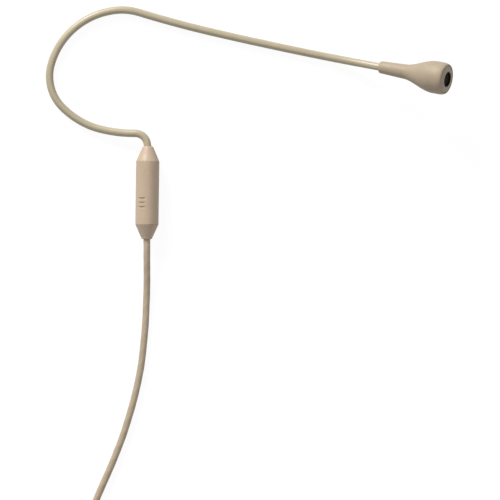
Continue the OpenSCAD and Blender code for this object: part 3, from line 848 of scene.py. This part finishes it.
def make_slab(name, outer, inner):
    """A closed sheet between two grids of points."""
    n, m = outer.shape[:2]
    points = np.concatenate([outer.reshape(-1, 3), inner.reshape(-1, 3)])
    under = n * m
    faces = []
    for i in range(n - 1):
        for j in range(m - 1):
            a = i * m + j
            faces.append([a, a + m, a + m + 1, a + 1])
            faces.append([under + a, under + a + 1, under + a + m + 1, under + a + m])
    rim = [j for j in range(m)] + [i * m + m - 1 for i in range(1, n)]
    rim += [(n - 1) * m + j for j in range(m - 2, -1, -1)] + [i * m for i in range(n - 2, 0, -1)]
    for a, b in zip(rim, rim[1:] + rim[:1]):
        faces.append([a, b, under + b, under + a])
    return make_object(name, points, faces)


def make_tie(name, turn):
    """A strap that starts on top of the bundle, goes once round it, and laps over its own start."""
    spots, ways = bundle_surface()
    count = len(spots)
    first = CORNER_STEPS
    steps = np.arange(first, first + count + FLAT_STEPS - 1)
    spots, ways = spots[steps % count], ways[steps % count]
    lap_start = first + count - CORNER_STEPS
    lift = 0.03 + TIE_T * ease((steps - lap_start) / CORNER_STEPS)
    across = np.radians(turn + np.linspace(0, TIE_ANGLE, ACROSS_STEPS + 1))
    grids = []
    for height in (lift + STRAP_T, lift):
        line = spots + ways * height[:, None]
        x = COIL_X + line[:, :1] * np.cos(across)
        y = COIL_Y + line[:, :1] * np.sin(across)
        z = np.repeat(line[:, 1:], len(across), axis=1)
        grids.append(np.stack([x, y, z], -1) * MM)
    tie = make_slab(name, *grids)
    paint(tie, "black_strap")
    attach(tie, "root")
    return tie


def make_ties():
    ties = [make_tie(f"coil_tie_{k + 1}", turn) for k, turn in enumerate(TIE_TURNS)]
    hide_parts("coil_ties")
    return ties


# ---- Plug: distances run from the boot's thin end, along +X --------------------------------
PLUG_PLACE = (Matrix.Translation(Vector((-16, TAIL_Y, PLUG_Z)) * MM)
              @ Matrix.Rotation(math.radians(90), 4, "Y"))
# Gaps round a piece that is glued or pushed in, and round the collar, which turns
GLUE_GAP = 0.03
RUNNING_GAP = 0.06
BOOT_LEN = 15
BOOT_THIN_R = 1.9
BOOT_THICK_R = 2.9
REAR_LIP = 1.2
BOOT_FLANGE = 1.5
BOOT_ROUND = 0.16
GROOVE_START = 1
GROOVE_PITCH = 2
GROOVE_COUNT = 6
GROOVE_W = 0.9
GROOVE_DEPTH = 0.45
BARREL_R = 4
BARREL_END = 32
BARREL_BORE_R = 3.3
FRONT_WALL = 29
STEM_R = 2.4
STEM_BORE_R = 1.5
CLIP_AT = 35
CLIP_GROOVE = 0.3
CLIP_GROOVE_W = 0.5
BARREL_CHAMFER = 0.4
BARREL_ROUND = 0.12
SEAT_LEN = 1
PIN_START = 37.5
COLLAR_START = BARREL_END + 0.3
COLLAR_END = 41
COLLAR_R = BARREL_R - 0.05
WEB_END = COLLAR_START + 2.4
CUP_R = 2.9
FLUTES = 18
FLUTE_R = 0.5
FLUTE_START = 1.2
FLUTE_LEN = 5.4
# How far a flute or the thread takes to reach its full depth
FLUTE_FADE = 0.35
THREAD_FADE = 0.3
THREAD_DEPTH = 0.13
THREAD_PITCH = 0.6
REAR_CHAMFER = 0.3
FRONT_CHAMFER = 0.6
COLLAR_ROUND = 0.1
JACK_R = 1.75
CORE_R = 1.1
ROD_R = 0.5
TIP_NECK_R = 1.15
TIP_HEAD_R = 1.6
TIP_SHOULDER = 0.2
TIP_POINT = 0.15
CONTACT_ROUND = 0.08
PIN_END = PIN_START + 14
TIP_BACK = PIN_END - 3.6
CONTACT_GAP = 0.4
RING_FRONT = TIP_BACK - CONTACT_GAP
RING_BACK = RING_FRONT - 2
SLEEVE_FRONT = RING_BACK - CONTACT_GAP


def make_boot():
    """A tapered rubber sleeve whose ribs are the lands between six grooves."""
    hole_r = CABLE_R + GLUE_GAP
    outline = [(hole_r, 0), (BOOT_THIN_R, 0)]
    for k in range(GROOVE_COUNT):
        start = GROOVE_START + GROOVE_PITCH * k
        end = start + GROOVE_W
        floor = mix(BOOT_THIN_R, BOOT_THICK_R, start / BOOT_LEN) - GROOVE_DEPTH
        for z, r in ((start, None), (start, floor), (end, floor), (end, None)):
            outline.append((mix(BOOT_THIN_R, BOOT_THICK_R, z / BOOT_LEN) if r is None else r, z))
    inner_r = BARREL_BORE_R - GLUE_GAP
    lip_end = BOOT_LEN + REAR_LIP
    outline += [(BOOT_THICK_R, BOOT_LEN), (BOOT_THICK_R, lip_end), (inner_r, lip_end),
                (inner_r, lip_end + BOOT_FLANGE), (hole_r, lip_end + BOOT_FLANGE)]
    boot = lathe("plug_boot_ribbed", soften(outline, BOOT_ROUND), PLUG_PLACE, 96)
    place_piece(boot, "root", "beige_rubber", "plug_boot")
    return boot


def make_barrel():
    stem_groove = STEM_R - CLIP_GROOVE
    outline = [
        (BOOT_THICK_R + GLUE_GAP, BOOT_LEN), (BARREL_R - BARREL_CHAMFER, BOOT_LEN),
        (BARREL_R, BOOT_LEN + BARREL_CHAMFER), (BARREL_R, BARREL_END - BARREL_CHAMFER),
        (BARREL_R - BARREL_CHAMFER, BARREL_END), (STEM_R, BARREL_END),
        (STEM_R, CLIP_AT), (stem_groove, CLIP_AT),
        (stem_groove, CLIP_AT + CLIP_GROOVE_W), (STEM_R, CLIP_AT + CLIP_GROOVE_W),
        (STEM_R, PIN_START - SEAT_LEN), (STEM_BORE_R, PIN_START - SEAT_LEN), (STEM_BORE_R, FRONT_WALL),
        (BARREL_BORE_R, FRONT_WALL), (BARREL_BORE_R, BOOT_LEN + REAR_LIP),
        (BOOT_THICK_R + GLUE_GAP, BOOT_LEN + REAR_LIP),
    ]
    barrel = lathe("plug_barrel_turned", soften(outline, BARREL_ROUND), PLUG_PLACE, 128)
    place_piece(barrel, "root", "bright_steel", "plug_barrel")
    return barrel


def fluted(turn, r, z):
    """Long round flutes round the collar's outside, and a thread inside its cup."""
    pitch = 2 * math.pi / FLUTES
    from_middle = np.abs((turn + pitch / 2) % pitch - pitch / 2) * COLLAR_R
    floor = COLLAR_R + 0.55 * FLUTE_R - np.sqrt(np.clip(FLUTE_R**2 - from_middle**2, 0, None))
    depth = np.clip(COLLAR_R - floor, 0, None) * (from_middle < FLUTE_R)
    start = COLLAR_START + FLUTE_START
    window = ease((z - start) / FLUTE_FADE) * ease((start + FLUTE_LEN - z) / FLUTE_FADE)
    outside = r > COLLAR_R - 0.01
    ridge = np.maximum(0, np.cos(turn - 2 * math.pi * z / THREAD_PITCH))
    thread = THREAD_DEPTH * ridge * ease((z - WEB_END - THREAD_FADE) / THREAD_FADE)
    thread = thread * ease((COLLAR_END - THREAD_FADE - z) / THREAD_FADE)
    inside = np.abs(r - CUP_R) < 0.01
    return r - np.where(outside, depth * window, 0) - np.where(inside, thread, 0)


def make_collar():
    outline = [
        (STEM_R + RUNNING_GAP, COLLAR_START), (COLLAR_R - REAR_CHAMFER, COLLAR_START),
        (COLLAR_R, COLLAR_START + REAR_CHAMFER), (COLLAR_R, COLLAR_END - FRONT_CHAMFER),
        (COLLAR_R - FRONT_CHAMFER, COLLAR_END), (CUP_R, COLLAR_END), (CUP_R, WEB_END),
        (STEM_R + RUNNING_GAP, WEB_END),
    ]
    outline = split_edges(soften(outline, COLLAR_ROUND), COLLAR_ROUND)
    collar = lathe("lock_collar_fluted", outline, PLUG_PLACE, FLUTES * 14, relief=fluted)
    place_piece(collar, "collar", "bright_steel", "lock_collar")
    return collar


def make_jack():
    """The pin's three contacts."""
    back = FRONT_WALL - 1.5
    neck_at = TIP_BACK + 1.4
    stem_fit = STEM_BORE_R - GLUE_GAP
    outlines = {
        "jack_sleeve": [
            (CORE_R, back), (stem_fit, back), (stem_fit, PIN_START - SEAT_LEN),
            (STEM_R, PIN_START - SEAT_LEN),
            (STEM_R, PIN_START), (JACK_R, PIN_START), (JACK_R, SLEEVE_FRONT), (CORE_R, SLEEVE_FRONT),
        ],
        "jack_ring": [(CORE_R, RING_BACK), (JACK_R, RING_BACK), (JACK_R, RING_FRONT), (CORE_R, RING_FRONT)],
        "jack_tip": [
            (0, FRONT_WALL - 3), (ROD_R, FRONT_WALL - 3), (ROD_R, TIP_BACK), (JACK_R, TIP_BACK),
            (JACK_R, TIP_BACK + TIP_SHOULDER), (TIP_NECK_R, neck_at - TIP_SHOULDER),
            (TIP_NECK_R, neck_at), (TIP_HEAD_R, neck_at + 0.6),
            (TIP_HEAD_R, neck_at + 0.9), (ROD_R, PIN_END - TIP_POINT), (0, PIN_END),
        ],
    }
    made = []
    for node, outline in outlines.items():
        contact = lathe(node + "_turned", soften(outline, CONTACT_ROUND), PLUG_PLACE, 96)
        place_piece(contact, "root", "gold_plate", node)
        made.append(contact)
    return made


def make_plug():
    return [make_boot(), make_barrel(), make_collar(), *make_jack()]


# ---- Slug: depth runs from its mouth, down its axis ----------------------------------------
SLUG_PLACE = (Matrix.Translation(SLUG_MOUTH) @ Matrix.Rotation(math.radians(SLUG_HEADING + 180), 4, "Z")
              @ Matrix.Rotation(math.radians(90), 4, "Y"))
SLEEVE_BORE_R = 3.2
SPIGOT_R = SLEEVE_BORE_R - GLUE_GAP
SPIGOT_LEN = 3
TUBE_HOLE_R = 1.355
CABLE_HOLE_R = 1.28
TOP_CONE_LEN = 5.3
SLEEVE_LEN = 22
BOTTOM_CONE_LEN = 5.1
SHOULDER_1 = TOP_CONE_LEN
SHOULDER_2 = TOP_CONE_LEN + SLEEVE_LEN
MOUTH_R = 1.75
MOUTH_RIM = 0.25
MOUTH_ROUND = 0.7
MOUTH_STEPS = 6
COUNTERSINK = 1.2
OUTLET_R = 1.95
OUTLET_ROUND = 0.5
SLOT_FIRST = 18.3
SLOT_PITCH = 1.5
SLOT_COUNT = 3
SLOT_W = 0.7
SLOT_REACH = 3
SLOT_DEPTH = 0.3
SLOT_TURN = 28
SLOT_WALL = 0.1
# The sleeve's seams are tiny grooves between rounded shoulders
SEAM_ROUND = 0.12


def slotted(turn, r, depth):
    """Sinks three flat-bottomed slots with round ends into the sleeve's outside."""
    # The slots face the slug's own -X, turned about its axis
    middle = math.pi + math.radians(SLOT_TURN)
    sideways = (turn - middle + math.pi) % (2 * math.pi) - math.pi
    across = SLUG_R * np.sin(sideways)
    beyond_end = np.maximum(np.abs(across) - SLOT_REACH / 2, 0)
    floor = (SLUG_R - SLOT_DEPTH) / np.maximum(np.cos(sideways), 0.3)
    for k in range(SLOT_COUNT):
        reach = np.hypot(beyond_end, depth - SLOT_FIRST - k * SLOT_PITCH)
        inside = ease((SLOT_W / 2 + SLOT_WALL / 2 - reach) / SLOT_WALL) * (np.cos(sideways) > 0.5)
        r = np.where(r > SLUG_R - 0.01, mix(r, np.minimum(r, floor), inside), r)
    return r


def make_sleeve():
    outline = [
        (SLEEVE_BORE_R, SHOULDER_1), (SLUG_R, SHOULDER_1), (SLUG_R, SHOULDER_2), (SLEEVE_BORE_R, SHOULDER_2),
    ]
    outline = soften(outline, SEAM_ROUND)
    slots_from = SLOT_FIRST - SLOT_W
    slots_to = SLOT_FIRST + (SLOT_COUNT - 1) * SLOT_PITCH + SLOT_W
    dense = [(SLUG_R, z) for z in np.arange(slots_from, slots_to, SLOT_WALL / 2)]
    here = next(i for i, (r, z) in enumerate(outline) if r > SLUG_R - 1e-6 and z > slots_to)
    outline = outline[:here] + dense + outline[here:]
    middle = math.pi + math.radians(SLOT_TURN)
    slot_half = math.asin((SLOT_REACH + 2 * SLOT_W) / 2 / SLUG_R)
    fine = np.arange(middle - slot_half, middle + slot_half, SLOT_WALL / 2 / SLUG_R)
    coarse = np.linspace(middle + slot_half, middle - slot_half + 2 * math.pi, 110, endpoint=False)
    angles = np.concatenate([fine, coarse])
    sleeve = lathe("slug_sleeve_moulded", outline, SLUG_PLACE, relief=slotted, angles=angles)
    place_piece(sleeve, "root", "slug_plastic", "slug_sleeve")


def make_caps():
    spigot_end = SHOULDER_1 + SPIGOT_LEN
    cone_way = Vector((SLUG_R - MOUTH_R, SHOULDER_1)).normalized()
    top = [(MOUTH_R - MOUTH_RIM, 0)]
    for k in range(1, MOUTH_STEPS + 1):
        t = k / MOUTH_STEPS
        along = MOUTH_ROUND * t * t
        top.append((MOUTH_R - MOUTH_RIM * (1 - t) ** 2 + cone_way.x * along, cone_way.y * along))
    top += [
        (SLUG_R, SHOULDER_1), (SPIGOT_R, SHOULDER_1), (SPIGOT_R, spigot_end), (TUBE_HOLE_R, spigot_end),
        (TUBE_HOLE_R, COUNTERSINK),
    ]
    cap = lathe("slug_top_cap_moulded", soften(top, SEAM_ROUND), SLUG_PLACE, 160)
    place_piece(cap, "root", "slug_plastic", "slug_top_cap")
    slug_end = SHOULDER_2 + BOTTOM_CONE_LEN
    cable_side = SHOULDER_2 - SPIGOT_LEN
    bottom = [
        (CABLE_HOLE_R, cable_side), (SPIGOT_R, cable_side), (SPIGOT_R, SHOULDER_2), (SLUG_R, SHOULDER_2),
    ]
    for a in np.radians(np.arange(0, 91, 9)):
        edge_r = OUTLET_R - OUTLET_ROUND * (1 - math.cos(a))
        bottom.append((edge_r, slug_end - OUTLET_ROUND * (1 - math.sin(a))))
    bottom.append((CABLE_HOLE_R, slug_end))
    cap = lathe("slug_bottom_cap_moulded", soften(bottom, SEAM_ROUND), SLUG_PLACE, 160)
    place_piece(cap, "root", "slug_plastic", "slug_bottom_cap")


def make_slug():
    make_sleeve()
    make_caps()


# ---- Capsule: distances run from its narrow end, along its axis ----------------------------
CAPSULE_AT = Vector(stretches[CAPSULE_ROW][0][0])
CAPSULE_PLACE = (Matrix.Translation(CAPSULE_AT) @ Matrix.Rotation(math.radians(CAPSULE_HEADING), 4, "Z")
                 @ Matrix.Rotation(math.radians(90 - CAPSULE_CLIMB), 4, "Y"))
CAPSULE_R = 5.6
NARROW_R = 2.1
NARROW_ROUND = 0.35
WAIST_R = 2.54
WAIST = 9.25
BELLY = 21.25
LAND_END = 23.7
LIP = 25.7
LIP_R = 4.95
LIP_ROUND = 0.1
FACE = 26.2
CAVITY_R = 4.85
CAN_SEAT = 20.2
NECK_BORE_LEN = 7
FERRULE_BORE_R = 1.85
FERRULE_END = 9.9
INNER_STEP = 0.9
WALL = 0.9
CAN_FRONT = 25
FELT_FRONT = 25.25
RECESS = 25.45
SCREEN_FRONT = 26
SCREEN_WALL = 0.15
RECESS_R = 4.2
INLET_R = 2.65
INLET_ROUND = 0.3
# The front cap's rim rounds away from the lip, and the two leave a fine groove
CAP_ROUND = 0.42


def bell_r(z):
    return mix(WAIST_R, CAPSULE_R, float(ease((z - WAIST) / (BELLY - WAIST))))


def make_housing():
    outline = [(TUBE_HOLE_R, 0)]
    for a in np.radians(np.arange(0, 91, 10)):
        outline.append((NARROW_R - NARROW_ROUND * (1 - math.sin(a)), NARROW_ROUND * (1 - math.cos(a))))
    outline += [(mix(NARROW_R, WAIST_R, z / WAIST), z) for z in np.arange(1, WAIST - 0.5, 1)]
    outline += [(bell_r(z), z) for z in np.arange(WAIST, BELLY + 0.01, 0.25)]
    for a in np.radians(np.arange(0, 91, 5)):
        outline.append((CAPSULE_R - (CAPSULE_R - LIP_R) * (1 - math.cos(a)), mix(LAND_END, LIP, math.sin(a))))
    # The lip turns over into the mouth with a small round, which leaves a groove round the front cap
    for a in np.radians(np.arange(10, 91, 10)):
        outline.append((LIP_R - LIP_ROUND * math.sin(a), LIP - LIP_ROUND * (1 - math.cos(a))))
    outline += [(CAVITY_R, LIP - 0.6), (CAVITY_R, CAN_SEAT)]
    outline += [(bell_r(z) - WALL, z) for z in np.arange(CAN_SEAT, FERRULE_END + INNER_STEP / 2, -INNER_STEP)]
    outline += [(FERRULE_BORE_R, FERRULE_END), (FERRULE_BORE_R, NECK_BORE_LEN), (TUBE_HOLE_R, NECK_BORE_LEN)]
    housing = lathe("capsule_housing_moulded", outline, CAPSULE_PLACE, 192)
    place_piece(housing, "capsule", "beige_plastic", "capsule_body")


def make_front_cap():
    cap_r = CAVITY_R - GLUE_GAP
    outline = [(INLET_R, RECESS), (RECESS_R, RECESS), (RECESS_R, CAN_FRONT), (cap_r, CAN_FRONT)]
    outline += [(cap_r - CAP_ROUND * (1 - math.cos(a)), LIP - CAP_ROUND * (1 - math.sin(a)))
                for a in np.radians(np.arange(0, 81, 10))]
    outline += [(INLET_R + INLET_ROUND * (1 - math.sin(a)), FACE - INLET_ROUND * (1 - math.cos(a)))
                for a in np.radians(np.arange(0, 91, 9))]
    cap = lathe("capsule_nose_moulded", outline, CAPSULE_PLACE, 192)
    place_piece(cap, "capsule", "beige_plastic", "capsule_nose")


WEAVE_R = 3.2
WEAVE_PITCH = 0.26
WEAVE_WIRE_R = 0.05
SCREEN_R = RECESS_R - GLUE_GAP


def make_screen():
    """A plain-woven wire screen, crimped over and under at each crossing, and its deep-drawn rim."""
    points, faces = [], []
    sides = 6
    around = 2 * math.pi * np.arange(sides) / sides
    reach = round(WEAVE_R / WEAVE_PITCH) - 1
    for crossways in (False, True):
        for k in range(-reach, reach + 1):
            offset = k * WEAVE_PITCH
            half = math.sqrt(WEAVE_R**2 - offset**2)
            along = np.linspace(-half, half, math.ceil(2 * half / WEAVE_PITCH * 4) + 1)
            phase = math.pi * (along / WEAVE_PITCH + k + crossways)
            rise = WEAVE_WIRE_R * np.cos(phase)
            middle = np.stack([along, np.full(len(along), offset), rise], -1)
            slope = -WEAVE_WIRE_R * math.pi / WEAVE_PITCH * np.sin(phase)
            forwards = np.stack([np.ones(len(along)), np.zeros(len(along)), slope], -1)
            forwards /= np.linalg.norm(forwards, axis=1)[:, None]
            wire = ring_points(middle, forwards, WEAVE_WIRE_R, around)
            if crossways:
                wire = wire[:, [1, 0, 2]] * [1, -1, 1]
            first = len(points)
            points += wire.tolist()
            faces += wall_faces(len(along), sides, first)
            end = first + (len(along) - 1) * sides
            faces += [[first + j for j in range(sides)][::-1], [end + j for j in range(sides)]]
    points = np.array(points)
    points[:, 2] += FELT_FRONT + 2 * WEAVE_WIRE_R
    points = (np.array(CAPSULE_PLACE.to_3x3()) @ points.T).T * MM + np.array(CAPSULE_PLACE.translation)
    weave = make_object("inlet_weave", points, faces)
    place_piece(weave, "capsule", "black_mesh", "inlet_screen")
    lining_r = INLET_R - GLUE_GAP
    floor = RECESS - 0.01
    back = FELT_FRONT + 0.01
    rim = [
        (lining_r - SCREEN_WALL, floor - 0.05), (WEAVE_R - 0.1, floor - 0.05), (WEAVE_R - 0.1, back),
        (SCREEN_R, back), (SCREEN_R, floor), (lining_r, floor), (lining_r, SCREEN_FRONT),
        (lining_r - SCREEN_WALL, SCREEN_FRONT),
    ]
    place_piece(lathe("inlet_screen_rim", soften(rim, 0.04), CAPSULE_PLACE, 96), "capsule", "black_mesh")


def make_capsule():
    make_housing()
    make_front_cap()
    make_screen()


make_camera()
make_light()
finishes = make_finishes()
for part in frame["record"]["subparts"]:
    paint(frame["nodes"][part["node"]], part["material_slot"])
cable, cable_places = make_cable()
ties = make_ties()
plug = make_plug()
make_formed_tube()
make_slug()
make_capsule()
make_floor()
